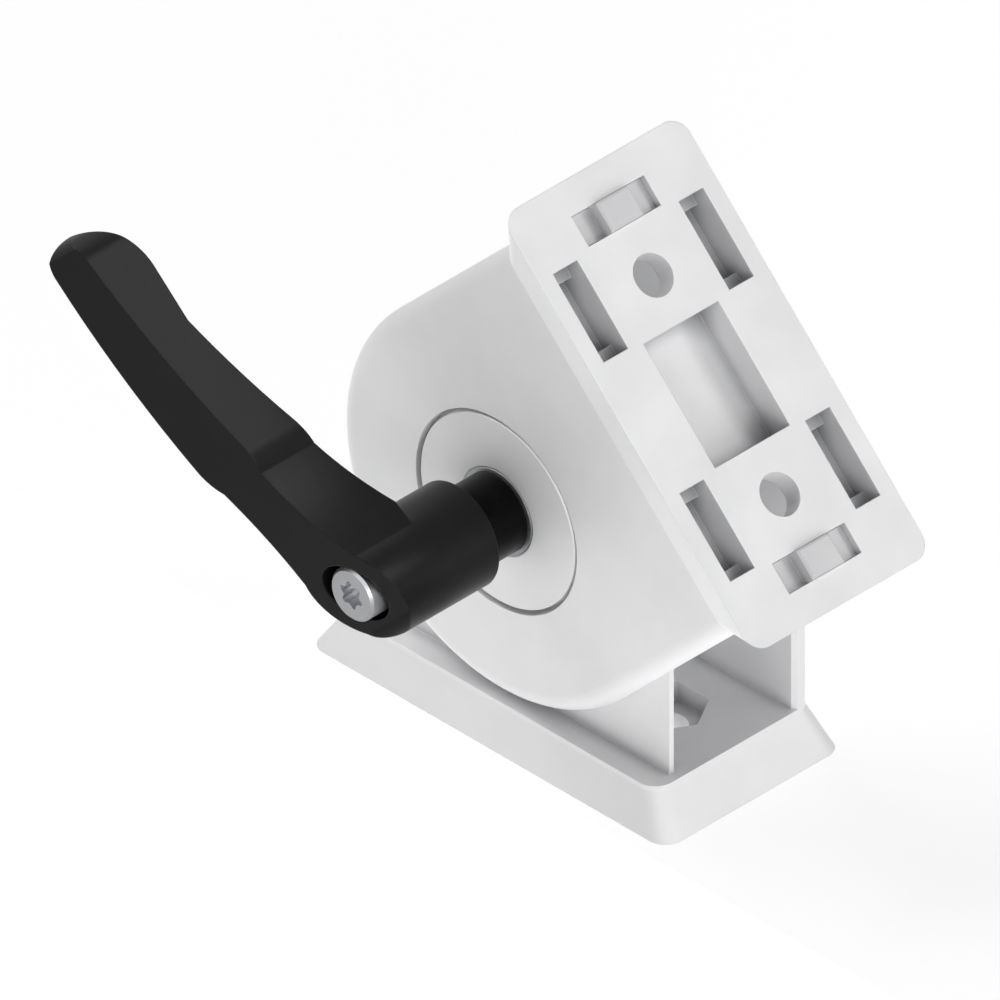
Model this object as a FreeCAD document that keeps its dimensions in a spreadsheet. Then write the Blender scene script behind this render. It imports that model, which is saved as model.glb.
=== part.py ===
# Profile pivot joint with a clamping lever
# Millimetres. Z is up, Y is the pivot axis and the lever is on the -Y side.
# The origin is the middle of the face that the base flange stands on.
import FreeCAD
import Part
import Sketcher
import math
import os
from types import SimpleNamespace

# Driving dimensions
SIZES = {
    # pivot and pose
    "pivot_height": 50,
    "tilt_angle": 45,
    "lever_angle": 135,
    # flange of each half
    "flange_length": 90,
    "flange_width": 45,
    "flange_rim_length": 80,
    "flange_rim_width": 40,
    "flange_corner": 4,
    "taper_height": 8,
    "rim_height": 1,
    # walls of each half
    "outer_wall_thickness": 5,
    "outer_wall_round": 4,
    "outer_wall_edge": 0.9,
    "inner_wall_radius": 38,
    "inner_wall_thickness": 2,
    "inner_wall_edge": 0.9,
    "wall_gap": 0.5,
    # fixing holes
    "hole_spacing": 45,
    "hole_diameter": 8.4,
    "hex_across_flats": 14,
    "hex_depth": 4.2,
    # sockets in the flange face
    "socket_depth": 7,
    "socket_ledge_depth": 4.1,
    "socket_ledge_length": 2.1,
    "socket_length": 18.15,
    "socket_width": 6.15,
    "side_socket_offset": 15.8,
    "end_socket_offset": 35.65,
    "centre_pocket_length": 25.5,
    "centre_pocket_width": 18.8,
    # anti-torsion lugs
    "lug_width": 7.95,
    "lug_plate_drop": 1.54,
    "lug_rise": 1.58,
    "lug_chamfer": 0.4,
    "lug_clearance": 0.05,
    # pivot discs
    "recess_radius": 20.25,
    "recess_depth": 2.5,
    "disc_radius": 19.4,
    "disc_drop": 0.2,
    "disc_chamfer": 0.25,
    "boss_radius": 12,
    "boss_reach": 1,
    "seat_radius": 8.73,
    "seat_depth": 1.4,
    "running_fit": 0.05,
    "loose_fit": 0.1,
    # rings between the walls
    "friction_ring_radius": 32,
    "sleeve_radius": 16,
    "slide_washer_thickness": 1,
    # clamp stud and nut
    "stud_diameter": 8,
    "stud_clearance": 0.25,
    "stud_grip": 12.6,
    "stud_tail": 0.5,
    "stud_chamfer": 0.8,
    "nut_across_flats": 13,
    "nut_height": 6.5,
    "nut_seat_depth": 4,
    "nut_clearance": 0.1,
    "washer_thickness": 1.5,
    "washer_clearance": 0.1,
    # lever insert
    "neck_radius": 7.9,
    "neck_length": 17,
    "neck_chamfer": 0.3,
    "tooth_count": 20,
    "tooth_root_radius": 6.3,
    "tooth_height": 0.9,
    "tooth_foot_width": 1.5,
    "tooth_tip_width": 0.6,
    "tooth_length": 4.1,
    "tooth_clearance": 0.1,
    "thread_end": 14.1,
    # lever screw
    "screw_diameter": 6,
    "screw_head_radius": 5.3,
    "screw_head_height": 5.2,
    "screw_head_chamfer": 0.5,
    "screw_stand": 4.2,
    "screw_grip": 5,
    "screw_clearance": 0.2,
    "drive_corner_radius": 2.45,
    "drive_corner_angle": 13,
    "drive_lobe_round": 0.58,
    "drive_waist_round": 1,
    "drive_depth": 2.5,
    # lever spring
    "spring_wire": 0.9,
    "spring_radius": 4.3,
    "spring_turns": 3,
    "spring_gap": 0.1,
    # lever handle
    "hub_radius": 10.5,
    "hub_start": 9.75,
    "hub_back_depth": 13.6,
    "web_clearance": 0.2,
    "web_thickness": 2.8,
    "counterbore_radius": 6.4,
    "handle_bore_clearance": 0.1,
    "handle_trim": 1,
    "handle_reach": 80.2,
    "heel_round": 3.1,
    "heel_front": 22.6,
    "front_round": 263,
    "tip_front_depth": 44.4,
    "tip_front_inset": 2.3,
    "tip_nose_depth": 40.8,
    "tip_nose_round": 4.2,
    "tip_back_round": 12.8,
    "grip_back_depth": 32.2,
    "grip_back_outer": 67.6,
    "grip_back_inner": 56.9,
    "back_round": 193,
    "hub_flank": 5.7,
    "waist_start": 9.6,
    "waist_start_half": 7.85,
    "waist_round": 60,
    "waist_end": 26.8,
    "waist_end_half": 6.6,
    "grip_start": 32,
    "grip_start_half": 8.05,
    "shoulder_round": 10,
    "grip_tip_half": 5.6,
}


class Length:
    """A size that knows both its value and the sheet expression that gives it."""

    def __init__(self, text, value):
        self.text = text
        self.value = value

    def __add__(self, other):
        other = length(other)
        return Length("(%s + %s)" % (self.text, other.text), self.value + other.value)

    def __sub__(self, other):
        other = length(other)
        return Length("(%s - %s)" % (self.text, other.text), self.value - other.value)

    def __mul__(self, other):
        other = length(other)
        return Length("(%s * %s)" % (self.text, other.text), self.value * other.value)

    def __truediv__(self, other):
        other = length(other)
        return Length("(%s / %s)" % (self.text, other.text), self.value / other.value)

    def __neg__(self):
        return Length("(0 - %s)" % self.text, -self.value)


def length(value):
    """Return a plain number as a Length, and a Length as it is."""
    if isinstance(value, Length):
        return value
    return Length(repr(float(value)), float(value))


def root(value):
    """Square root of a Length."""
    return Length("sqrt(%s)" % value.text, math.sqrt(value.value))


doc = FreeCAD.newDocument("ProfilePivotJoint")
sheet = doc.addObject("Spreadsheet::Sheet", "Sizes")
for row, (alias, number) in enumerate(SIZES.items(), 1):
    sheet.set("A%d" % row, alias)
    sheet.set("B%d" % row, str(number))
    sheet.setAlias("B%d" % row, alias)
doc.recompute()
size = SimpleNamespace(**{alias: Length("Sizes." + alias, number) for alias, number in SIZES.items()})


# Sketch and feature helpers
def new_body(name):
    """Start a sub-part whose own origin lies on the pivot axis."""
    body = doc.addObject("PartDesign::Body", name)
    body.Label = name
    body.setExpression("Placement.Base.z", size.pivot_height.text)
    return body


def new_sketch(body, name, plane, offset):
    """Start a sketch on one of the body's planes, moved along the plane's normal."""
    sketch = body.newObject("Sketcher::SketchObject", name)
    support = [item for item in body.Origin.OriginFeatures if item.Role == plane][0]
    sketch.AttachmentSupport = [(support, "")]
    sketch.MapMode = "FlatFace"
    sketch.setExpression("AttachmentOffset.Base.z", length(offset).text)
    return sketch


def bind(sketch, kind, references, amount):
    """Add a dimension to the sketch and tie it to the sheet."""
    index = sketch.addConstraint(Sketcher.Constraint(kind, *references, amount.value))
    sketch.setExpression("Constraints[%d]" % index, amount.text)


def place(sketch, edge, end, across, up):
    """Fix one end of an edge at the given coordinates."""
    bind(sketch, "DistanceX", (-1, 1, edge, end), length(across))
    bind(sketch, "DistanceY", (-1, 1, edge, end), length(up))


def arc_between(start, end, bend):
    """Arc from start to end, turning left round a positive bend and right round a negative one."""
    radius = abs(bend)
    half = (end - start) * 0.5
    rise = math.sqrt(radius ** 2 - half.Length ** 2)
    left = FreeCAD.Vector(-half.y, half.x, 0).normalize()
    centre = start + half + left * math.copysign(rise, bend)
    first, last = (start, end) if bend > 0 else (end, start)
    from_angle = math.atan2(first.y - centre.y, first.x - centre.x)
    to_angle = math.atan2(last.y - centre.y, last.x - centre.x)
    if to_angle < from_angle:
        to_angle += 2 * math.pi
    circle = Part.Circle(centre, FreeCAD.Vector(0, 0, 1), radius)
    return Part.ArcOfCircle(circle, from_angle, to_angle)


def outline(sketch, corners):
    """Draw a closed outline. A corner's third value is the bend of the arc that leaves it."""
    points = [FreeCAD.Vector(length(corner[0]).value, length(corner[1]).value, 0) for corner in corners]
    edges = []
    for index, corner in enumerate(corners):
        start = points[index]
        end = points[(index + 1) % len(points)]
        if len(corner) == 2:
            edges.append((sketch.addGeometry(Part.LineSegment(start, end)), 1, 2))
            continue
        bend = corner[2]
        edge = sketch.addGeometry(arc_between(start, end, bend.value))
        turns_left = bend.value > 0
        edges.append((edge, 1, 2) if turns_left else (edge, 2, 1))
        bind(sketch, "Radius", (edge,), bend if turns_left else -bend)
    for index, (edge, first, last) in enumerate(edges):
        following = edges[(index + 1) % len(edges)]
        sketch.addConstraint(Sketcher.Constraint("Coincident", edge, last, following[0], following[1]))
        place(sketch, edge, first, corners[index][0], corners[index][1])


def rectangle(sketch, long, wide, across=0, up=0):
    """Draw a rectangle round a centre."""
    left = length(across) - long / 2
    right = length(across) + long / 2
    low = length(up) - wide / 2
    high = length(up) + wide / 2
    outline(sketch, [(left, low), (right, low), (right, high), (left, high)])


def rounded_rectangle(sketch, long, wide, corner):
    """Draw a rectangle with round corners about the sketch origin."""
    right = long / 2
    high = wide / 2
    outline(sketch, [
        (-right + corner, -high), (right - corner, -high, corner),
        (right, -high + corner), (right, high - corner, corner),
        (right - corner, high), (-right + corner, high, corner),
        (-right, high - corner), (-right, -high + corner, corner),
    ])


def circle(sketch, radius, across=0, up=0):
    """Draw a circle round a centre."""
    centre = FreeCAD.Vector(length(across).value, length(up).value, 0)
    edge = sketch.addGeometry(Part.Circle(centre, FreeCAD.Vector(0, 0, 1), radius.value))
    place(sketch, edge, 3, across, up)
    bind(sketch, "Radius", (edge,), radius)


def hexagon(sketch, across_flats, across=0):
    """Draw a hexagon with two corners on the sketch's own X axis."""
    tip = across_flats / root(length(3))
    half = across_flats / 2
    middle = length(across)
    outline(sketch, [
        (middle + tip, 0), (middle + tip / 2, half), (middle - tip / 2, half),
        (middle - tip, 0), (middle - tip / 2, -half), (middle + tip / 2, -half),
    ])


def arch(sketch, radius, foot):
    """Draw a plate with straight flanks and a round top about the pivot."""
    outline(sketch, [(-radius, foot), (radius, foot), (radius, 0, radius), (0, radius, radius), (-radius, 0)])


def extrude(body, kind, sketch, amount, reverse=False, both=False):
    """Pad or pocket a sketch by a length and check that it changed the solid."""
    before = 0 if body.Tip is None else body.Shape.Volume
    feature = body.newObject("PartDesign::" + kind, sketch.Name.replace("Sketch", kind))
    feature.Profile = sketch
    feature.Reversed = reverse
    if both:
        feature.Midplane = True
    feature.setExpression("Length", length(amount).text)
    doc.recompute()
    change = body.Shape.Volume - before
    if (change <= 0) == (kind == "Pad"):
        raise ValueError("%s changed nothing in %s" % (feature.Name, body.Label))
    return feature


def turned(name, corners):
    """Make a body by turning a profile, radius by place along the axis, about the pivot axis."""
    body = new_body(name)
    sketch = new_sketch(body, name + "_Sketch", "XY_Plane", 0)
    outline(sketch, corners)
    feature = body.newObject("PartDesign::Revolution", name + "_Turn")
    feature.Profile = sketch
    feature.ReferenceAxis = (sketch, ["V_Axis"])
    feature.Angle = 360
    doc.recompute()
    return body


def ring(name, inner, outer, start, end):
    """Make a plain ring about the pivot axis."""
    return turned(name, [(inner, start), (outer, start), (outer, end), (inner, end)])


def dress(body, kind, radius, wanted):
    """Fillet or chamfer the edges of the body that pass a test."""
    base = body.Tip
    names = ["Edge%d" % (index + 1) for index, edge in enumerate(base.Shape.Edges) if wanted(edge)]
    feature = body.newObject("PartDesign::" + kind, "%s_%s" % (body.Name, kind))
    feature.Base = (base, names)
    feature.setExpression("Radius" if kind == "Fillet" else "Size", radius.text)
    doc.recompute()
    return feature


def along(edge, axis, place_at, slack=0.01):
    """Say whether an edge lies wholly at one place along an axis."""
    box = edge.BoundBox
    low = getattr(box, axis + "Min")
    high = getattr(box, axis + "Max")
    return abs(low - place_at) < slack and abs(high - place_at) < slack


# Places that several pieces share, measured from the pivot axis
wall_outside = size.flange_rim_width / 2
wall_inside = wall_outside - size.outer_wall_thickness
inner_wall_outside = wall_inside - size.wall_gap
inner_wall_inside = inner_wall_outside - size.inner_wall_thickness
flange_face = -size.pivot_height
taper_top = flange_face + size.taper_height
flange_top = taper_top + size.rim_height
wall_radius = size.flange_rim_length / 2
boss_bore = size.boss_radius + size.running_fit
recess_floor = wall_outside - size.recess_depth
disc_face = wall_outside - size.disc_drop
seat_floor = disc_face - size.seat_depth
washer_face = seat_floor + size.washer_thickness
boss_end = inner_wall_inside - size.slide_washer_thickness - size.boss_reach
stud_radius = size.stud_diameter / 2
stud_bore = stud_radius + size.stud_clearance
thread_bore = stud_radius + size.running_fit
nut_seat = disc_face - size.nut_seat_depth
neck_end = washer_face + size.neck_length
insert_end = neck_end + size.tooth_length
thread_floor = washer_face + size.thread_end
hub_back = wall_outside + size.hub_start
web_back = insert_end + size.web_clearance
web_front = web_back + size.web_thickness
arm_back = hub_back + size.hub_back_depth
heel = hub_back + size.heel_front
crown = hub_back + size.tip_front_depth
screw_top = heel + size.screw_stand
screw_seat = screw_top - size.screw_head_height


# Die-cast halves
def add_flange(body):
    """Add the tapered flange with its upright rim."""
    rim_sketch = new_sketch(body, body.Name + "_rim_Sketch", "XY_Plane", taper_top)
    rounded_rectangle(rim_sketch, size.flange_rim_length, size.flange_rim_width, size.flange_corner)
    extrude(body, "Pad", rim_sketch, size.rim_height)
    low_sketch = new_sketch(body, body.Name + "_face_Sketch", "XY_Plane", flange_face)
    rounded_rectangle(low_sketch, size.flange_length, size.flange_width, size.flange_corner)
    high_sketch = new_sketch(body, body.Name + "_taper_Sketch", "XY_Plane", taper_top)
    rounded_rectangle(high_sketch, size.flange_rim_length, size.flange_rim_width, size.flange_corner)
    loft = body.newObject("PartDesign::AdditiveLoft", body.Name + "_taper")
    loft.Profile = low_sketch
    loft.Sections = [high_sketch]
    doc.recompute()


def add_outer_wall(body):
    """Add the thick wall with the broad round along its outer edge."""
    sketch = new_sketch(body, body.Name + "_wall_Sketch", "XZ_Plane", -wall_outside)
    arch(sketch, wall_radius, taper_top)
    extrude(body, "Pad", sketch, size.outer_wall_thickness)
    foot = taper_top.value
    outside = wall_outside.value
    inside = wall_inside.value
    dress(body, "Fillet", size.outer_wall_round,
          lambda edge: along(edge, "Y", outside) and not along(edge, "Z", foot))
    dress(body, "Chamfer", size.outer_wall_edge,
          lambda edge: along(edge, "Y", inside) and not along(edge, "Z", foot))


def add_inner_wall(body):
    """Add the thin wall that runs beside the other half's outer wall."""
    sketch = new_sketch(body, body.Name + "_web_Sketch", "XZ_Plane", inner_wall_inside)
    arch(sketch, size.inner_wall_radius, taper_top)
    extrude(body, "Pad", sketch, size.inner_wall_thickness)
    top = flange_top.value
    face = -inner_wall_inside.value
    dress(body, "Chamfer", size.inner_wall_edge,
          lambda edge: along(edge, "Y", face) and not along(edge, "Z", top))


def cut_sockets(body):
    """Cut the stepped sockets and the middle pocket into the flange face."""
    deep_length = size.socket_length - size.socket_ledge_length * 2
    for label, long, depth in (("ledge", size.socket_length, size.socket_ledge_depth),
                               ("deep", deep_length, size.socket_depth)):
        sketch = new_sketch(body, "%s_%s_Sketch" % (body.Name, label), "XY_Plane", flange_face)
        for side in (-1, 1):
            for end in (-1, 1):
                rectangle(sketch, long, size.socket_width,
                          size.hole_spacing / 2 * end, size.side_socket_offset * side)
            rectangle(sketch, size.socket_width, long, size.end_socket_offset * side, 0)
        extrude(body, "Pocket", sketch, depth, reverse=True)
    middle = new_sketch(body, body.Name + "_middle_Sketch", "XY_Plane", flange_face)
    rectangle(middle, size.centre_pocket_length, size.centre_pocket_width)
    extrude(body, "Pocket", middle, size.socket_depth, reverse=True)


def cut_fixing_holes(body):
    """Cut the two fixing holes and the hexagon pockets that hold a nut or a bolt head."""
    holes = new_sketch(body, body.Name + "_hole_Sketch", "XY_Plane", flange_face)
    pockets = new_sketch(body, body.Name + "_hex_Sketch", "XY_Plane", flange_top)
    for end in (-1, 1):
        circle(holes, size.hole_diameter / 2, size.hole_spacing / 2 * end, 0)
        hexagon(pockets, size.hex_across_flats, size.hole_spacing / 2 * end)
    extrude(body, "Pocket", holes, size.taper_height + size.rim_height, reverse=True)
    extrude(body, "Pocket", pockets, size.hex_depth)


def cut_pivot(body):
    """Cut the disc recess into the outer wall and the pivot bore through both walls."""
    recess = new_sketch(body, body.Name + "_recess_Sketch", "XZ_Plane", -wall_outside)
    circle(recess, size.recess_radius)
    extrude(body, "Pocket", recess, size.recess_depth, reverse=True)
    bore = new_sketch(body, body.Name + "_bore_Sketch", "XZ_Plane", -wall_outside)
    circle(bore, boss_bore)
    extrude(body, "Pocket", bore, wall_outside * 2, reverse=True)


def half(name):
    """One die-cast half, with its flange down and its thick wall on the +Y side."""
    body = new_body(name)
    add_outer_wall(body)
    add_flange(body)
    add_inner_wall(body)
    cut_sockets(body)
    cut_fixing_holes(body)
    cut_pivot(body)
    return body


def turn_over(body):
    """Turn a piece over about the pivot and lean it by the tilt."""
    lean = math.radians(size.tilt_angle.value) / 2
    axis = FreeCAD.Vector(math.cos(lean), 0, -math.sin(lean))
    body.Placement = FreeCAD.Placement(body.Placement.Base, FreeCAD.Rotation(axis, 180))


def swing(body):
    """Turn a piece of the lever about the pivot to where the handle points."""
    turn = FreeCAD.Rotation(FreeCAD.Vector(0, 1, 0), -size.lever_angle.value)
    body.Placement = FreeCAD.Placement(body.Placement.Base, turn)


def lug(name, side):
    """Anti-torsion lug that sits in an end socket of the upper flange."""
    body = new_body(name)
    long = size.socket_length - size.lug_clearance * 2
    wide = size.socket_width - size.lug_clearance * 2
    deep_long = long - size.socket_ledge_length * 2
    middle = size.end_socket_offset * side
    ledge = flange_face + size.socket_ledge_depth
    plate_top = flange_face + size.lug_plate_drop
    crown = flange_face - size.lug_rise
    plate = new_sketch(body, name + "_plate_Sketch", "XY_Plane", plate_top)
    rectangle(plate, wide, long, middle)
    extrude(body, "Pad", plate, size.socket_ledge_depth - size.lug_plate_drop)
    key = new_sketch(body, name + "_key_Sketch", "XY_Plane", ledge)
    rectangle(key, wide, deep_long, middle)
    extrude(body, "Pad", key, size.socket_depth - size.socket_ledge_depth - size.lug_clearance)
    head = new_sketch(body, name + "_head_Sketch", "XY_Plane", crown)
    rectangle(head, wide, size.lug_width, middle)
    extrude(body, "Pad", head, size.lug_rise + size.lug_plate_drop)
    dress(body, "Chamfer", size.lug_chamfer, lambda edge: along(edge, "Z", crown.value))
    return body


# Discs, rings and sleeve on the pivot
def disc_profile(seat_radius, seat_place, side):
    """Half section of a pivot disc with its boss, on the side given by its sign."""
    rim = size.disc_chamfer
    bore = stud_bore
    return [(radius, place_at * side) for radius, place_at in (
        (bore, boss_end), (size.boss_radius, boss_end), (size.boss_radius, recess_floor),
        (size.disc_radius, recess_floor), (size.disc_radius, disc_face - rim),
        (size.disc_radius - rim, disc_face), (seat_radius + rim, disc_face),
        (seat_radius, disc_face - rim), (seat_radius, seat_place), (bore, seat_place),
    )]


def near_disc():
    """Pivot disc under the lever, with the seat for the thrust washer."""
    return turned("near_disc", disc_profile(size.seat_radius, seat_floor, -1))


def far_disc():
    """Pivot disc on the far side, with the hexagon seat that keeps the nut from turning."""
    rim = size.disc_chamfer
    bore = stud_bore
    body = turned("far_disc", [
        (bore, boss_end), (size.boss_radius, boss_end), (size.boss_radius, recess_floor),
        (size.disc_radius, recess_floor), (size.disc_radius, disc_face - rim),
        (size.disc_radius - rim, disc_face), (bore, disc_face),
    ])
    seat = new_sketch(body, "far_disc_seat_Sketch", "XZ_Plane", -disc_face)
    hexagon(seat, size.nut_across_flats + size.nut_clearance * 2)
    extrude(body, "Pocket", seat, size.nut_seat_depth, reverse=True)
    return body


def rings():
    """Friction rings between the walls, and the sleeve with its slide washers."""
    bore = size.boss_radius + size.loose_fit
    sleeve_end = inner_wall_inside - size.slide_washer_thickness
    ring("near_friction_ring", bore, size.friction_ring_radius, -wall_inside, -inner_wall_outside)
    ring("far_friction_ring", bore, size.friction_ring_radius, inner_wall_outside, wall_inside)
    ring("near_slide_washer", bore, size.sleeve_radius, -inner_wall_inside, -sleeve_end)
    ring("far_slide_washer", bore, size.sleeve_radius, sleeve_end, inner_wall_inside)
    ring("spacer_sleeve", bore, size.sleeve_radius, -sleeve_end, sleeve_end)


# Clamp
def thrust_washer():
    """Washer that the lever's neck presses on."""
    outer = size.seat_radius - size.washer_clearance
    ring("thrust_washer", stud_bore, outer, -washer_face, -seat_floor)


def clamp_stud():
    """Threaded stud from the nut to the lever insert."""
    edge = size.stud_chamfer
    tail = nut_seat + size.nut_height + size.stud_tail
    tip = washer_face + size.stud_grip
    turned("clamp_stud", [
        (0, -tip), (stud_radius - edge, -tip), (stud_radius, -tip + edge),
        (stud_radius, tail - edge), (stud_radius - edge, tail), (0, tail),
    ])


def hex_nut():
    """Nut held in the far disc."""
    body = new_body("hex_nut")
    sketch = new_sketch(body, "hex_nut_Sketch", "XZ_Plane", -nut_seat)
    hexagon(sketch, size.nut_across_flats)
    circle(sketch, thread_bore)
    extrude(body, "Pad", sketch, size.nut_height, reverse=True)


def lever_insert():
    """Insert with a bright neck, a toothed end and a thread at each end."""
    edge = size.neck_chamfer
    screw_bore = size.screw_diameter / 2 + size.running_fit
    body = turned("lever_insert", [
        (thread_bore, -washer_face), (size.neck_radius - edge, -washer_face),
        (size.neck_radius, -washer_face - edge), (size.neck_radius, -neck_end),
        (size.tooth_root_radius, -neck_end), (size.tooth_root_radius, -insert_end),
        (screw_bore, -insert_end), (screw_bore, -thread_floor), (thread_bore, -thread_floor),
    ])
    sketch = new_sketch(body, "lever_insert_tooth_Sketch", "XZ_Plane", neck_end)
    tooth(sketch, length(0))
    pad = extrude(body, "Pad", sketch, size.tooth_length)
    spread(body, pad)
    return body


def tooth(sketch, clearance):
    """Draw one tooth that points along the sketch's X axis, grown by a clearance."""
    foot = size.tooth_root_radius - size.tooth_height / 2
    crest = size.tooth_root_radius + size.tooth_height + clearance
    foot_half = size.tooth_foot_width / 2 + clearance
    tip_half = size.tooth_tip_width / 2 + clearance
    outline(sketch, [(foot, -foot_half), (crest, -tip_half), (crest, tip_half), (foot, foot_half)])


def spread(body, feature):
    """Repeat a tooth evenly round the pivot axis."""
    pattern = body.newObject("PartDesign::PolarPattern", body.Name + "_teeth")
    pattern.Originals = [feature]
    pattern.Axis = (feature.Profile[0], ["N_Axis"])
    pattern.Angle = 360
    pattern.setExpression("Occurrences", size.tooth_count.text)
    body.Tip = pattern
    doc.recompute()


def lever_screw():
    """Cheese-head screw that holds the handle on the insert, with a six-lobe drive."""
    edge = size.screw_head_chamfer
    shank = size.screw_diameter / 2
    head = size.screw_head_radius
    body = turned("lever_screw", [
        (0, -screw_top), (head - edge, -screw_top), (head, -screw_top + edge),
        (head, -screw_seat), (shank, -screw_seat), (shank, -insert_end + size.screw_grip),
        (0, -insert_end + size.screw_grip),
    ])
    sketch = new_sketch(body, "lever_screw_drive_Sketch", "XZ_Plane", screw_top)
    corners = []
    lean = size.drive_corner_angle.value
    for lobe in range(6):
        for turn, bend in ((-lean, size.drive_lobe_round), (lean, -size.drive_waist_round)):
            angle = math.radians(30 + 60 * lobe + turn)
            reach = size.drive_corner_radius
            corners.append((reach * math.cos(angle), reach * math.sin(angle), bend))
    outline(sketch, corners)
    extrude(body, "Pocket", sketch, size.drive_depth)
    return body


def lever_spring():
    """Square-wire spring that pushes the handle down on the insert's teeth."""
    body = new_body("lever_spring")
    wire = size.spring_wire / 2
    start = web_front + size.spring_gap + wire
    sketch = new_sketch(body, "lever_spring_Sketch", "XY_Plane", 0)
    rectangle(sketch, size.spring_wire, size.spring_wire, size.spring_radius, -start)
    coil = body.newObject("PartDesign::AdditiveHelix", "lever_spring_coil")
    coil.Profile = sketch
    coil.ReferenceAxis = (sketch, ["V_Axis"])
    coil.Mode = "height-turns-growth"
    coil.Reversed = True
    coil.setExpression("Height", (screw_seat - web_front - size.spring_gap * 2 - wire * 2).text)
    coil.setExpression("Turns", size.spring_turns.text)
    doc.recompute()
    return body


# Handle
def handle_plan(sketch):
    """Outline of the handle seen along the pivot axis, with the arm along X."""
    hub = size.hub_radius
    flank = root(hub * hub - size.hub_flank * size.hub_flank)
    tip = size.handle_reach - size.grip_tip_half
    side = [
        (size.handle_reach, 0, size.grip_tip_half), (tip, size.grip_tip_half),
        (size.grip_start, size.grip_start_half, size.shoulder_round),
        (size.waist_end, size.waist_end_half, -size.waist_round),
        (size.waist_start, size.waist_start_half), (size.hub_flank, flank, hub),
    ]
    other = [
        (-hub, 0, hub), (size.hub_flank, -flank),
        (size.waist_start, -size.waist_start_half, -size.waist_round),
        (size.waist_end, -size.waist_end_half, size.shoulder_round),
        (size.grip_start, -size.grip_start_half), (tip, -size.grip_tip_half, size.grip_tip_half),
    ]
    outline(sketch, side + other)


def handle_side(sketch):
    """Frame round the handle seen from its side, which trims the plan shape."""
    margin = size.handle_trim
    clear = size.hub_radius + size.loose_fit
    reach = size.handle_reach
    nose = hub_back + size.tip_nose_depth
    back = hub_back + size.grip_back_depth
    outline(sketch, [
        (-clear, -hub_back + margin), (-clear, -heel + size.heel_round, size.heel_round),
        (-clear + size.heel_round, -heel, size.front_round),
        (reach - size.tip_front_inset, -crown, size.tip_nose_round),
        (reach, -nose, size.tip_back_round),
        (size.grip_back_outer, -back), (size.grip_back_inner, -back, -size.back_round),
        (clear, -arm_back), (clear, -hub_back + margin),
    ])
    low = -crown - margin
    high = -hub_back + margin * 2
    outline(sketch, [(-clear - margin, low), (reach + margin, low),
                     (reach + margin, high), (-clear - margin, high)])


def lever_handle():
    """Cast handle with a round hub, a waist and a long tapering grip."""
    body = new_body("lever_handle")
    hub = new_sketch(body, "lever_handle_hub_Sketch", "XZ_Plane", hub_back)
    circle(hub, size.hub_radius)
    extrude(body, "Pad", hub, arm_back - hub_back)
    plan = new_sketch(body, "lever_handle_plan_Sketch", "XZ_Plane", arm_back)
    handle_plan(plan)
    extrude(body, "Pad", plan, crown - arm_back)
    side = new_sketch(body, "lever_handle_side_Sketch", "XY_Plane", 0)
    handle_side(side)
    extrude(body, "Pocket", side, (size.hub_radius + size.handle_trim) * 2, both=True)
    neck = new_sketch(body, "lever_handle_neck_Sketch", "XZ_Plane", hub_back)
    circle(neck, size.neck_radius + size.handle_bore_clearance)
    extrude(body, "Pocket", neck, neck_end + size.loose_fit - hub_back, reverse=True)
    core = new_sketch(body, "lever_handle_core_Sketch", "XZ_Plane", hub_back)
    circle(core, size.tooth_root_radius + size.tooth_clearance)
    extrude(body, "Pocket", core, web_back - hub_back, reverse=True)
    shank = new_sketch(body, "lever_handle_shank_Sketch", "XZ_Plane", hub_back)
    circle(shank, size.screw_diameter / 2 + size.screw_clearance)
    extrude(body, "Pocket", shank, web_front - hub_back, reverse=True)
    seat = new_sketch(body, "lever_handle_seat_Sketch", "XZ_Plane", web_front)
    circle(seat, size.counterbore_radius)
    extrude(body, "Pocket", seat, size.tip_front_depth, reverse=True)
    groove = new_sketch(body, "lever_handle_tooth_Sketch", "XZ_Plane", neck_end)
    tooth(groove, size.tooth_clearance)
    cut = extrude(body, "Pocket", groove, web_back - neck_end, reverse=True)
    spread(body, cut)
    return body


half("base_half")
turn_over(half("upper_half"))
turn_over(lug("upper_lug_high", -1))
turn_over(lug("upper_lug_low", 1))
near_disc()
far_disc()
rings()
thrust_washer()
clamp_stud()
hex_nut()
swing(lever_insert())
swing(lever_screw())
swing(lever_spring())
swing(lever_handle())
doc.recompute()

# Check and write each sub-part
for item in doc.Objects:
    if "Invalid" in item.State or "Error" in item.State:
        raise ValueError("%s failed: %s" % (item.Name, item.State))
bodies = [item for item in doc.Objects if item.TypeId == "PartDesign::Body"]
for body in bodies:
    if body.Shape.isNull() or not body.Shape.isValid():
        raise ValueError("%s has no valid shape" % body.Label)
os.makedirs("parts", exist_ok=True)
for body in bodies:
    body.Shape.exportStep("parts/%s.step" % body.Label)
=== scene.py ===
import math

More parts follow.
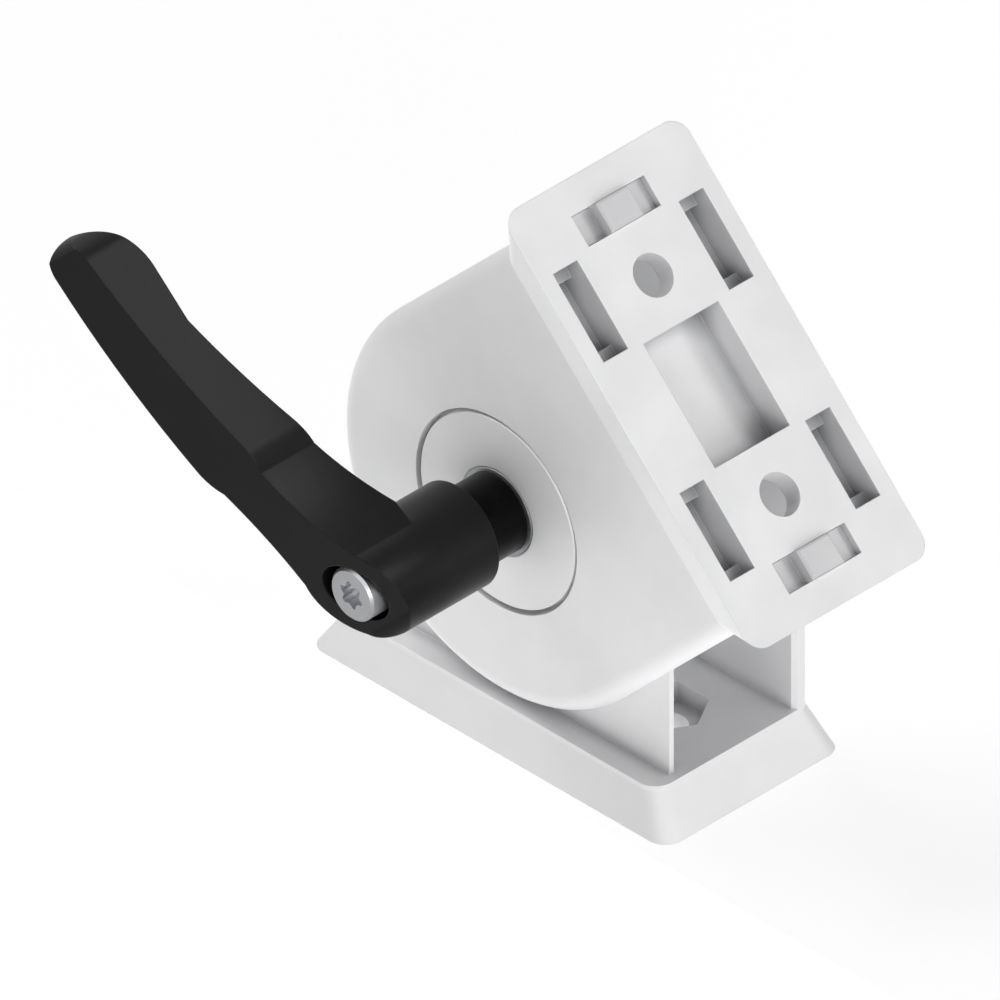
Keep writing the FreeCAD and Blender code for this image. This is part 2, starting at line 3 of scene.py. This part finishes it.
import bmesh
import bpy
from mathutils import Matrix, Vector


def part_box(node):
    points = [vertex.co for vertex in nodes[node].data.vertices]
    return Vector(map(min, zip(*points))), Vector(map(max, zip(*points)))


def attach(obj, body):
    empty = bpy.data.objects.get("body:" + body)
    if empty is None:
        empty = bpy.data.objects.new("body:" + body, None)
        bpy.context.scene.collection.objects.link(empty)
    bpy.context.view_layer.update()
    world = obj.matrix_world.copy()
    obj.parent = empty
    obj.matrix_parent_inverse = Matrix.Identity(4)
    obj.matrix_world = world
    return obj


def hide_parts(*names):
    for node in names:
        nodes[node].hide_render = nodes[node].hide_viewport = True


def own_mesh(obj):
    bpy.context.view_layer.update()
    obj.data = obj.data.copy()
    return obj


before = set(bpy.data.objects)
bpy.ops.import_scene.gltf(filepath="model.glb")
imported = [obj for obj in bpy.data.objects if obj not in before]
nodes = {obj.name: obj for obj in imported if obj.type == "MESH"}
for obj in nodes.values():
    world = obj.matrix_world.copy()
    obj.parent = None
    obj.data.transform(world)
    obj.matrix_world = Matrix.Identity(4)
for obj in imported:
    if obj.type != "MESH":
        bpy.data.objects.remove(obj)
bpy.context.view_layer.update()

# Studio
# The camera looks down on the joint from its lever side in an exact isometric view,
# with no perspective. The joint stands on a lit white table. Large soft lamps shine on its
# left and its right side, and two weak ones on its back.
MM = 0.001
VIEW_CENTRE_MM = (-19.095, 0, 33.005)
VIEW_WIDTH_MM = 177.78
CAMERA_AWAY_MM = 1200
NEAREST_SEEN_MM = 10
FARTHEST_SEEN_MM = 20000
toward_camera = Vector((1, -1, 1)).normalized()
camera_data = bpy.data.cameras.new("isometric_camera")
camera_data.type = "ORTHO"
camera_data.ortho_scale = VIEW_WIDTH_MM * MM
camera_data.clip_start = NEAREST_SEEN_MM * MM
camera_data.clip_end = FARTHEST_SEEN_MM * MM
camera = bpy.data.objects.new("isometric_camera", camera_data)
camera.rotation_mode = "QUATERNION"
camera.location = Vector(VIEW_CENTRE_MM) * MM + toward_camera * CAMERA_AWAY_MM * MM
camera.rotation_quaternion = (-toward_camera).to_track_quat("-Z", "Y")
bpy.context.scene.collection.objects.link(camera)
bpy.context.scene.camera = camera
bpy.context.scene.view_settings.view_transform = "Standard"


def linear(hex_colour):
    """Turn an sRGB hex colour into the linear colour that a shader takes."""
    channels = []
    for start in (1, 3, 5):
        value = int(hex_colour[start:start + 2], 16) / 255
        channels.append(value / 12.92 if value <= 0.04045 else ((value + 0.055) / 1.055) ** 2.4)
    return (*channels, 1)


def add(tree, kind, settings=None, links=None):
    """Add a shader node, give it its settings and link its inputs."""
    node = tree.nodes.new(kind)
    for name, value in (settings or {}).items():
        if isinstance(name, int) or name in node.inputs:
            node.inputs[name].default_value = value
        else:
            setattr(node, name, value)
    for name, output in (links or {}).items():
        tree.links.new(output, node.inputs[name])
    return node


def new_finish(name):
    """Start an empty node material and return it with its tree."""
    material = bpy.data.materials.new(name)
    material.use_nodes = True
    material.node_tree.nodes.clear()
    return material, material.node_tree


def lamp(name, direction, strength, softness):
    """Add a soft white sun that shines from a direction. Its softness is an angle in degrees."""
    data = bpy.data.lights.new(name, "SUN")
    data.energy = strength
    data.angle = math.radians(softness)
    sun = bpy.data.objects.new(name, data)
    sun.rotation_mode = "QUATERNION"
    sun.rotation_quaternion = Vector(direction).to_track_quat("Z", "Y")
    bpy.context.scene.collection.objects.link(sun)


lamp("left_softbox", (-0.66, -0.15, 0.74), strength=1.50, softness=40)
lamp("front_right_softbox", (0.80, -0.60, 0.08), strength=1.10, softness=40)
lamp("right_softbox", (1.00, 0.00, 0.05), strength=0.75, softness=40)
lamp("back_softbox", (0.58, 0.58, 0.58), strength=0.34, softness=22)
lamp("back_top_softbox", (-0.35, 0.58, 0.73), strength=0.18, softness=40)

# The room is white wherever it is seen, mirrored or looked at through glass, and hardly lights
# the joint.
WHITE = linear("#FFFFFF")
world = bpy.data.worlds.new("white_room")
world.use_nodes = True
sky = world.node_tree
sky.nodes.clear()
path = add(sky, "ShaderNodeLightPath")
seen = add(sky, "ShaderNodeMath", {"operation": "MAXIMUM"},
           {0: path.outputs["Is Camera Ray"], 1: path.outputs["Is Glossy Ray"]})
seen_or_through = add(sky, "ShaderNodeMath", {"operation": "MAXIMUM"},
                      {0: seen.outputs[0], 1: path.outputs["Is Transmission Ray"]})
room_light = add(sky, "ShaderNodeBackground", {"Color": WHITE, "Strength": 0.05})
white_wall = add(sky, "ShaderNodeBackground", {"Color": WHITE, "Strength": 1.0})
room = add(sky, "ShaderNodeMixShader", links={
    0: seen_or_through.outputs[0], 1: room_light.outputs[0], 2: white_wall.outputs[0]})
add(sky, "ShaderNodeOutputWorld", links={"Surface": room.outputs[0]})
bpy.context.scene.world = world

# The table is white paper lit from below. It ends just before the lever, so that the handle
# can swing past its edge, and goes on a step lower. It lets light through from underneath.
TABLE_REACH_MM = 3000
TABLE_EDGE_MM = -26
TABLE_STEP_MM = 34
UNDER_THE_BASE_MM = 0.02
GLOW_SHARE = 0.6
floor_profile = [(TABLE_REACH_MM, 0), (TABLE_EDGE_MM, 0),
                 (TABLE_EDGE_MM, -TABLE_STEP_MM), (-TABLE_REACH_MM, -TABLE_STEP_MM)]
floor_points = [Vector((x, y, z)) * MM for y, z in floor_profile for x in (TABLE_REACH_MM, -TABLE_REACH_MM)]
floor_mesh = bpy.data.meshes.new("floor")
floor_mesh.from_pydata(floor_points, [], [(0, 1, 3, 2), (2, 3, 5, 4), (4, 5, 7, 6)])
floor = bpy.data.objects.new("floor", floor_mesh)
floor.location.z = -UNDER_THE_BASE_MM * MM
bpy.context.scene.collection.objects.link(floor)
white_floor, tree = new_finish("white paper floor")
path = add(tree, "ShaderNodeLightPath")
paper = add(tree, "ShaderNodeBsdfDiffuse", {"Color": linear("#F2F2F2")})
glow = add(tree, "ShaderNodeEmission", {"Color": WHITE, "Strength": 1.32})
shown = add(tree, "ShaderNodeMixShader", {0: GLOW_SHARE}, {1: paper.outputs[0], 2: glow.outputs[0]})
mirror_white = add(tree, "ShaderNodeEmission", {"Color": WHITE, "Strength": 0.5})
table_light = add(tree, "ShaderNodeEmission", {"Color": WHITE, "Strength": 2.5})
bounced = add(tree, "ShaderNodeMixShader", {0: GLOW_SHARE}, {1: paper.outputs[0], 2: table_light.outputs[0]})
mirrored = add(tree, "ShaderNodeMixShader", links={
    0: path.outputs["Is Glossy Ray"], 1: bounced.outputs[0], 2: mirror_white.outputs[0]})
top_side = add(tree, "ShaderNodeMixShader", links={
    0: path.outputs["Is Camera Ray"], 1: mirrored.outputs[0], 2: shown.outputs[0]})
clear = add(tree, "ShaderNodeBsdfTransparent")
side = add(tree, "ShaderNodeNewGeometry")
both_sides = add(tree, "ShaderNodeMixShader", links={
    0: side.outputs["Backfacing"], 1: top_side.outputs[0], 2: clear.outputs[0]})
add(tree, "ShaderNodeOutputMaterial", links={"Surface": both_sides.outputs[0]})
floor_mesh.materials.append(white_floor)

# Die-cast halves
# The two alike halves carry the flanges and the walls that overlap round the pivot.
# They are aluminium die castings, blasted with fine shot once the flash is trimmed.
CASTING_GREY = "#E6E6E7"
CASTING_SHADE = "#E2E2E3"
# Colour of the painted highlight along outside edges.
CASTING_EDGE = "#F1F1F2"
# Colour of the painted shade in sockets, holes and corners.
CASTING_PAINTED_SHADE = "#909194"
CASTING_ROUGHNESS = 0.48
CASTING_EDGE_ROUND_MM = 0.2
SHOT_DENT_MM = 0.35
DENT_DEPTH_MM = 0.03
GRAIN_DEPTH_MM = 0.02
CLOUD_MM = 14
PAINTED_SHADE_REACH_MM = 6
FLAT_LIKENESS = 0.995
EDGE_LIKENESS = 0.86


def dress(node_name, material):
    """Give a piece that comes straight from the frame its finish."""
    mesh = nodes[node_name].data
    mesh.materials.clear()
    mesh.materials.append(material)


def edge_mask(tree, rounded):
    """Return an output that is 1 along outside edges and 0 on open faces, from how far the
    rounded surface turns away from the flat one there."""
    flat = add(tree, "ShaderNodeNewGeometry")
    likeness = add(tree, "ShaderNodeVectorMath", {"operation": "DOT_PRODUCT"},
                   {0: rounded.outputs["Normal"], 1: flat.outputs["Normal"]})
    ramp = add(tree, "ShaderNodeMapRange", {"From Min": FLAT_LIKENESS, "From Max": EDGE_LIKENESS},
               {"Value": likeness.outputs["Value"]})
    return ramp.outputs[0]


def blasted_casting(name, body, shade, edge, dent_mm, round_mm, roughness):
    """Shot-blasted casting: small round dents break the gloss into a soft even sheen.
    Sockets, holes and corners are darkened with painted shade from an ambient occlusion mask, and outside
    edges are lightened with a painted highlight."""
    material, tree = new_finish(name)
    place = add(tree, "ShaderNodeTexCoord").outputs["Object"]
    dents = add(tree, "ShaderNodeTexVoronoi",
                {"feature": "SMOOTH_F1", "Scale": 1 / (dent_mm * MM), "Smoothness": 0.6}, {"Vector": place})
    grain = add(tree, "ShaderNodeTexNoise", {"Scale": 2 / (dent_mm * MM), "Detail": 2.0}, {"Vector": place})
    cloud = add(tree, "ShaderNodeTexNoise", {"Scale": 1 / (CLOUD_MM * MM), "Detail": 3.0}, {"Vector": place})
    rounded = add(tree, "ShaderNodeBevel", {"samples": 6, "Radius": round_mm * MM})
    dented = add(tree, "ShaderNodeBump", {"Strength": 0.35, "Distance": DENT_DEPTH_MM * MM},
                 {"Height": dents.outputs["Distance"], "Normal": rounded.outputs["Normal"]})
    rough = add(tree, "ShaderNodeBump", {"Strength": 0.2, "Distance": GRAIN_DEPTH_MM * MM},
                {"Height": grain.outputs[0], "Normal": dented.outputs["Normal"]})
    blotch = add(tree, "ShaderNodeMapRange", {"From Min": 0.35, "From Max": 0.65},
                 {"Value": cloud.outputs[0]})
    skin = add(tree, "ShaderNodeMix", {"data_type": "RGBA", 6: linear(body), 7: linear(shade)},
               {0: blotch.outputs[0]})
    # Painted shade: where the ambient occlusion test finds the piece's own walls close, the colour is mixed
    # towards the dark recess grey.
    openness = add(tree, "ShaderNodeAmbientOcclusion",
                   {"samples": 8, "only_local": True, "Distance": PAINTED_SHADE_REACH_MM * MM})
    painted_shade_amount = add(tree, "ShaderNodeMapRange", {"From Min": 0.75, "From Max": 0.15},
                 {"Value": openness.outputs["AO"]})
    shaded = add(tree, "ShaderNodeMix", {"data_type": "RGBA", 7: linear(CASTING_PAINTED_SHADE)},
                 {0: painted_shade_amount.outputs[0], 6: skin.outputs[2]})
    # Painted highlight: outside edges are mixed towards the lighter edge colour.
    edge_highlit = add(tree, "ShaderNodeMix", {"data_type": "RGBA", 7: linear(edge)},
               {0: edge_mask(tree, rounded), 6: shaded.outputs[2]})
    gloss = add(tree, "ShaderNodeMapRange", {"To Min": roughness - 0.05, "To Max": roughness + 0.05},
                {"Value": cloud.outputs[0]})
    surface = add(tree, "ShaderNodeBsdfPrincipled",
                  {"Metallic": 0.3, "Sheen Weight": 1.0, "Sheen Roughness": 0.3},
                  {"Base Color": edge_highlit.outputs[2], "Roughness": gloss.outputs[0],
                   "Normal": rough.outputs["Normal"]})
    add(tree, "ShaderNodeOutputMaterial", links={"Surface": surface.outputs[0]})
    return material


casting = blasted_casting("shot-blasted aluminium die casting", CASTING_GREY, CASTING_SHADE, CASTING_EDGE,
                          SHOT_DENT_MM, CASTING_EDGE_ROUND_MM, CASTING_ROUGHNESS)
dress("base_half", casting)
dress("upper_half", casting)

# Anti-torsion lugs
# Two small keyed blocks pressed into the end sockets of the upper flange.
# They are cast in the same metal and left as they come from the die, a little smoother.
LUG_GREY = "#CBCBCC"
LUG_SHADE = "#C6C6C8"
# Colour of the painted highlight along the lugs' outside edges.
LUG_EDGE = "#DEDEDF"
LUG_DENT_MM = 0.8
LUG_EDGE_ROUND_MM = 0.2
LUG_ROUGHNESS = 0.45
lug_casting = blasted_casting("aluminium casting as it leaves the die", LUG_GREY, LUG_SHADE, LUG_EDGE,
                              LUG_DENT_MM, LUG_EDGE_ROUND_MM, LUG_ROUGHNESS)
dress("upper_lug_high", lug_casting)
dress("upper_lug_low", lug_casting)

# Pivot discs
# Each disc fills the round recess of a wall, and its boss runs through both walls.
# Same casting, with its face left blasted and its edge broken by a small chamfer.
DISC_EDGE_ROUND_MM = 0.15
disc_casting = blasted_casting("shot-blasted aluminium disc", CASTING_GREY, CASTING_SHADE, CASTING_EDGE,
                               SHOT_DENT_MM, DISC_EDGE_ROUND_MM, CASTING_ROUGHNESS)
dress("near_disc", disc_casting)
dress("far_disc", disc_casting)

# Rings, sleeve and thrust washer
# Friction rings lie between the walls, slide washers and a sleeve hold the walls apart,
# and the lever's neck presses on the thrust washer. They are turned steel, zinc plated.
ZINC_PLATE = "#CFD0D2"
ZINC_SHADE = "#C0C2C5"
PIVOT_HEIGHT_MM = 50
TOOL_FEED_MM = 0.3
TOOL_LINE_DEPTH_MM = 0.02
STEEL_EDGE_ROUND_MM = 0.12
STEEL_CLOUD_MM = 3


def wave_scale(spacing_mm):
    """Scale of a wave texture for lines at this spacing. At scale 1 it has 20 radians a metre."""
    return 2 * math.pi / (20 * spacing_mm * MM)


def turned_steel(name, body, shade, feed_mm, roughness, rings):
    """Turned and plated steel: fine tool lines, as circles on a face or bands along the axis."""
    material, tree = new_finish(name)
    place = add(tree, "ShaderNodeTexCoord").outputs["Object"]
    centred = add(tree, "ShaderNodeVectorMath", {"operation": "SUBTRACT", 1: (0, 0, PIVOT_HEIGHT_MM * MM)},
                  {0: place})
    lines = add(tree, "ShaderNodeTexWave",
                {"wave_type": "RINGS" if rings else "BANDS", "rings_direction": "Y", "bands_direction": "Y",
                 "Scale": wave_scale(feed_mm), "Distortion": 0.4, "Detail": 1.0},
                {"Vector": centred.outputs[0]})
    cloud = add(tree, "ShaderNodeTexNoise", {"Scale": 1 / (STEEL_CLOUD_MM * MM), "Detail": 3.0},
                {"Vector": place})
    rounded = add(tree, "ShaderNodeBevel", {"samples": 4, "Radius": STEEL_EDGE_ROUND_MM * MM})
    feed = add(tree, "ShaderNodeBump", {"Strength": 0.15, "Distance": TOOL_LINE_DEPTH_MM * MM},
               {"Height": lines.outputs[1], "Normal": rounded.outputs["Normal"]})
    colour = add(tree, "ShaderNodeMix", {"data_type": "RGBA", 6: linear(body), 7: linear(shade)},
                 {0: cloud.outputs[0]})
    gloss = add(tree, "ShaderNodeMapRange", {"To Min": roughness - 0.06, "To Max": roughness + 0.06},
                {"Value": cloud.outputs[0]})
    surface = add(tree, "ShaderNodeBsdfPrincipled", {"Metallic": 1.0},
                  {"Base Color": colour.outputs[2], "Roughness": gloss.outputs[0],
                   "Normal": feed.outputs["Normal"]})
    add(tree, "ShaderNodeOutputMaterial", links={"Surface": surface.outputs[0]})
    return material


ring_steel = turned_steel("zinc-plated turned steel ring", ZINC_PLATE, ZINC_SHADE,
                          feed_mm=TOOL_FEED_MM, roughness=0.38, rings=True)
sleeve_steel = turned_steel("zinc-plated turned steel sleeve", ZINC_PLATE, ZINC_SHADE,
                            feed_mm=TOOL_FEED_MM, roughness=0.4, rings=False)
for ring_name in ("near_friction_ring", "far_friction_ring", "near_slide_washer", "far_slide_washer",
                  "thrust_washer"):
    dress(ring_name, ring_steel)
dress("spacer_sleeve", sleeve_steel)

# Clamp stud
# M8 stud that runs from the nut, through both discs, into the lever insert.
# It is zinc-plated steel. Its rolled thread starts at a chamfer and shows beyond the nut.
stud_low, stud_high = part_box("clamp_stud")
STUD_R_MM = 4.0
STUD_PITCH_MM = 1.25
STUD_THREAD_DEPTH_MM = 0.61
STUD_CHAMFER_MM = 0.8
STUD_THREAD_LONG_MM = 10.0
STUD_SIDES = 60
RINGS_PER_THREAD_TURN = 12
RING_GAP_MM = 0.01
THREAD_ROOT_SHARE = 0.22
THREAD_FLANK_SHARE = 0.66
SHARP_EDGE_DEG = 28


def thread_height(turns):
    """Height of a rolled thread, from 0 at the root to 1 at the crest, by place along the pitch."""
    away = abs(turns - math.floor(turns) - 0.5) * 2
    return min(max((away - THREAD_ROOT_SHARE) / THREAD_FLANK_SHARE, 0), 1)


def skin_loops(name, loops, closed_ends):
    """Make a mesh piece from rings of points that follow each other."""
    mesh = bpy.data.meshes.new(name)
    piece = bmesh.new()
    rings = [[piece.verts.new(point) for point in loop] for loop in loops]
    follow = list(zip(rings, rings[1:]))
    if not closed_ends:
        follow.append((rings[-1], rings[0]))
    for first, second in follow:
        for index in range(len(first)):
            after = (index + 1) % len(first)
            piece.faces.new((first[index], first[after], second[after], second[index]))
    if closed_ends:
        piece.faces.new(list(reversed(rings[0])))
        piece.faces.new(rings[-1])
    bmesh.ops.recalc_face_normals(piece, faces=piece.faces)
    piece.to_mesh(mesh)
    piece.free()
    mesh.shade_smooth()
    mesh.set_sharp_from_angle(angle=math.radians(SHARP_EDGE_DEG))
    made = bpy.data.objects.new(name, mesh)
    bpy.context.scene.collection.objects.link(made)
    return made


def around(radius_at, y_at, sides):
    """One ring of points about the pivot axis. Radius and place may change round the ring."""
    points = []
    for index in range(sides):
        angle = 2 * math.pi * index / sides
        radius = radius_at(angle)
        points.append(Vector((radius * math.cos(angle), y_at(angle, radius),
                              PIVOT_HEIGHT_MM + radius * math.sin(angle))) * MM)
    return points


tail = stud_high.y / MM
tip = stud_low.y / MM
thread_start = tail - STUD_THREAD_LONG_MM


def stud_ring(y):
    """One ring of points on the stud. The thread's first turn runs out into the plain shank."""

    def radius_at(angle):
        depth = 0 if y < thread_start else STUD_THREAD_DEPTH_MM * min((y - thread_start) / STUD_PITCH_MM, 1)
        radius = STUD_R_MM - depth * (1 - thread_height(y / STUD_PITCH_MM - angle / (2 * math.pi)))
        chamfer = STUD_R_MM - STUD_CHAMFER_MM + min(y - tip, tail - y)
        return min(radius, chamfer)

    return around(radius_at, lambda angle, radius: y, STUD_SIDES)


steps = round(STUD_THREAD_LONG_MM / STUD_PITCH_MM * RINGS_PER_THREAD_TURN)
places = [tip, tip + STUD_CHAMFER_MM, thread_start - RING_GAP_MM]
places += [thread_start + STUD_THREAD_LONG_MM * step / steps for step in range(steps + 1)]
stud = skin_loops("clamp_stud_threaded", [stud_ring(y) for y in places], closed_ends=True)
stud.data.materials.append(turned_steel("zinc-plated rolled stud", "#B4B8BD", "#9FA4AB",
                                        feed_mm=0.5, roughness=0.32, rings=False))
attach(stud, "lever_core")
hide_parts("clamp_stud")

# Hexagon nut
# M8 nut, 13 mm across the flats, dropped into the hexagon seat of the far disc.
# It is zinc-plated steel, with both faces turned down to a chamfer that cuts its corners.
nut_low, nut_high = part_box("hex_nut")
NUT_FLATS_MM = 13.0
NUT_FACE_R_MM = 6.1
NUT_BORE_R_MM = 4.05
NUT_SINK_MM = 0.4
NUT_CHAMFER_DEG = 30
NUT_SIDES = 96


def nut_outline(angle):
    """Distance from the axis to the hexagon, whose corners lie along X."""
    sixth = math.pi / 3
    return NUT_FLATS_MM / 2 / math.cos((angle % sixth) - sixth / 2)


def nut_end(y, inward):
    """The rings of one end of the nut, from its hexagon to its bore."""
    slope = math.tan(math.radians(NUT_CHAMFER_DEG))
    return [
        around(nut_outline, lambda angle, radius: y + inward * (radius - NUT_FACE_R_MM) * slope, NUT_SIDES),
        around(lambda angle: NUT_FACE_R_MM, lambda angle, radius: y, NUT_SIDES),
        around(lambda angle: NUT_BORE_R_MM + NUT_SINK_MM, lambda angle, radius: y, NUT_SIDES),
        around(lambda angle: NUT_BORE_R_MM, lambda angle, radius: y + inward * NUT_SINK_MM, NUT_SIDES),
    ]


outer_end = nut_end(nut_high.y / MM, -1)
inner_end = nut_end(nut_low.y / MM, 1)
nut = skin_loops("hex_nut_chamfered", outer_end + list(reversed(inner_end)), closed_ends=False)
nut.data.materials.append(turned_steel("zinc-plated nut steel", "#B9BDC2", "#A6ABB2",
                                       feed_mm=0.4, roughness=0.34, rings=True))
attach(nut, "base")
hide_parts("hex_nut")

# Lever insert
# The turned bush that screws on to the stud. Its long neck shows below the hub,
# and its toothed end catches the handle. It is steel, blackened in a hot oxide bath.
BLACK_OXIDE = "#050506"
BLACK_OXIDE_WORN = "#0D0D0E"
INSERT_FEED_MM = 0.35
OIL_BLOTCH_MM = 2.5
INSERT_EDGE_ROUND_MM = 0.2
blackened, tree = new_finish("black-oxide turned steel")
place = add(tree, "ShaderNodeTexCoord").outputs["Object"]
feed_lines = add(tree, "ShaderNodeTexWave",
                 {"wave_type": "BANDS", "bands_direction": "Y", "Scale": wave_scale(INSERT_FEED_MM),
                  "Distortion": 0.3, "Detail": 1.0}, {"Vector": place})
oil = add(tree, "ShaderNodeTexNoise", {"Scale": 1 / (OIL_BLOTCH_MM * MM), "Detail": 4.0}, {"Vector": place})
rounded = add(tree, "ShaderNodeBevel", {"samples": 4, "Radius": INSERT_EDGE_ROUND_MM * MM})
turned = add(tree, "ShaderNodeBump", {"Strength": 0.2, "Distance": TOOL_LINE_DEPTH_MM * MM},
             {"Height": feed_lines.outputs[1], "Normal": rounded.outputs["Normal"]})
film = add(tree, "ShaderNodeMix", {"data_type": "RGBA", 6: linear(BLACK_OXIDE), 7: linear(BLACK_OXIDE_WORN)},
           {0: oil.outputs[0]})
sheen = add(tree, "ShaderNodeMapRange", {"To Min": 0.28, "To Max": 0.42}, {"Value": oil.outputs[0]})
surface = add(tree, "ShaderNodeBsdfPrincipled", {"Metallic": 0.6, "Specular IOR Level": 0.1},
              {"Base Color": film.outputs[2], "Roughness": sheen.outputs[0],
               "Normal": turned.outputs["Normal"]})
add(tree, "ShaderNodeOutputMaterial", links={"Surface": surface.outputs[0]})
dress("lever_insert", blackened)

# Lever screw
# A cheese-head screw holds the handle on the insert and guides it when it is lifted. It is
# cold-headed steel, zinc plated, with a turned face and a six-lobe drive.
screw_steel = turned_steel("bright zinc-plated screw head", "#D2D3D5", "#C4C6C9",
                           feed_mm=0.25, roughness=0.4, rings=True)
dress("lever_screw", screw_steel)

# Lever spring
# A square-wire spring under the screw's head pushes the handle on to the insert's teeth.
# It is drawn spring steel, and its coils close up against the screw as the handle lifts.
spring_low, spring_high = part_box("lever_spring")
SPRING_R_MM = 4.3
SPRING_WIRE_MM = 0.9
SPRING_TURNS = 3
SPRING_STEPS = 40
WIRE_CORNERS = ((0.5, 0.5), (-0.5, 0.5), (-0.5, -0.5), (0.5, -0.5))
spring_long = spring_high.y - spring_low.y
coil_rings = []
for step in range(SPRING_TURNS * SPRING_STEPS + 1):
    turned_by = 2 * math.pi * step / SPRING_STEPS
    along = step / (SPRING_TURNS * SPRING_STEPS)
    middle = (spring_low.y + (spring_long - SPRING_WIRE_MM * MM) * along) / MM + SPRING_WIRE_MM / 2
    ring = []
    for outward, forward in WIRE_CORNERS:
        reach = SPRING_R_MM + outward * SPRING_WIRE_MM
        ring.append(Vector((reach * math.cos(turned_by), middle + forward * SPRING_WIRE_MM,
                            PIVOT_HEIGHT_MM + reach * math.sin(turned_by))) * MM)
    coil_rings.append(ring)
spring = skin_loops("lever_spring_coil", coil_rings, closed_ends=True)
spring.data.materials.append(turned_steel("drawn spring steel wire", "#8F9195", "#7C7E83",
                                          feed_mm=0.2, roughness=0.35, rings=False))
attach(spring, "lever_core")
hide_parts("lever_spring")
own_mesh(spring)

# Lever handle
# The one-piece handle with its round hub, waist and long grip. It is a zinc die casting
# with a matt black powder coat, baked on, which rounds the edges and leaves a fine orange peel.
POWDER_BLACK = "#080808"
POWDER_DUSTY = "#0C0C0D"
# Colour of the painted highlight along the handle's edges.
POWDER_EDGE_HIGHLIGHT = "#1E1E1F"
ORANGE_PEEL_MM = 0.7
PEEL_DEPTH_MM = 0.03
POWDER_GRAIN_MM = 0.25
POWDER_GRAIN_DEPTH_MM = 0.02
POWDER_CLOUD_MM = 9
HANDLE_EDGE_ROUND_MM = 0.45
powder_coat, tree = new_finish("matt black powder coat")
place = add(tree, "ShaderNodeTexCoord").outputs["Object"]
peel = add(tree, "ShaderNodeTexNoise", {"Scale": 1 / (ORANGE_PEEL_MM * MM), "Detail": 1.0},
           {"Vector": place})
grain = add(tree, "ShaderNodeTexNoise", {"Scale": 1 / (POWDER_GRAIN_MM * MM), "Detail": 2.0},
            {"Vector": place})
cloud = add(tree, "ShaderNodeTexNoise", {"Scale": 1 / (POWDER_CLOUD_MM * MM), "Detail": 3.0},
            {"Vector": place})
rounded = add(tree, "ShaderNodeBevel", {"samples": 6, "Radius": HANDLE_EDGE_ROUND_MM * MM})
waved = add(tree, "ShaderNodeBump", {"Strength": 0.2, "Distance": PEEL_DEPTH_MM * MM},
            {"Height": peel.outputs[0], "Normal": rounded.outputs["Normal"]})
grained = add(tree, "ShaderNodeBump", {"Strength": 0.25, "Distance": POWDER_GRAIN_DEPTH_MM * MM},
              {"Height": grain.outputs[0], "Normal": waved.outputs["Normal"]})
dust = add(tree, "ShaderNodeMapRange", {"From Min": 0.4, "From Max": 0.7}, {"Value": cloud.outputs[0]})
coat = add(tree, "ShaderNodeMix", {"data_type": "RGBA", 6: linear(POWDER_BLACK), 7: linear(POWDER_DUSTY)},
           {0: dust.outputs[0]})
# Painted highlight: the handle's outside edges are mixed towards a lighter grey.
coat_edge_highlit = add(tree, "ShaderNodeMix", {"data_type": "RGBA", 7: linear(POWDER_EDGE_HIGHLIGHT)},
             {0: edge_mask(tree, rounded), 6: coat.outputs[2]})
matt = add(tree, "ShaderNodeMapRange", {"To Min": 0.28, "To Max": 0.34}, {"Value": cloud.outputs[0]})
surface = add(tree, "ShaderNodeBsdfPrincipled", {"Metallic": 0.0, "IOR": 1.5, "Specular IOR Level": 0.18},
              {"Base Color": coat_edge_highlit.outputs[2], "Roughness": matt.outputs[0],
               "Normal": grained.outputs["Normal"]})
add(tree, "ShaderNodeOutputMaterial", links={"Surface": surface.outputs[0]})
dress("lever_handle", powder_coat)
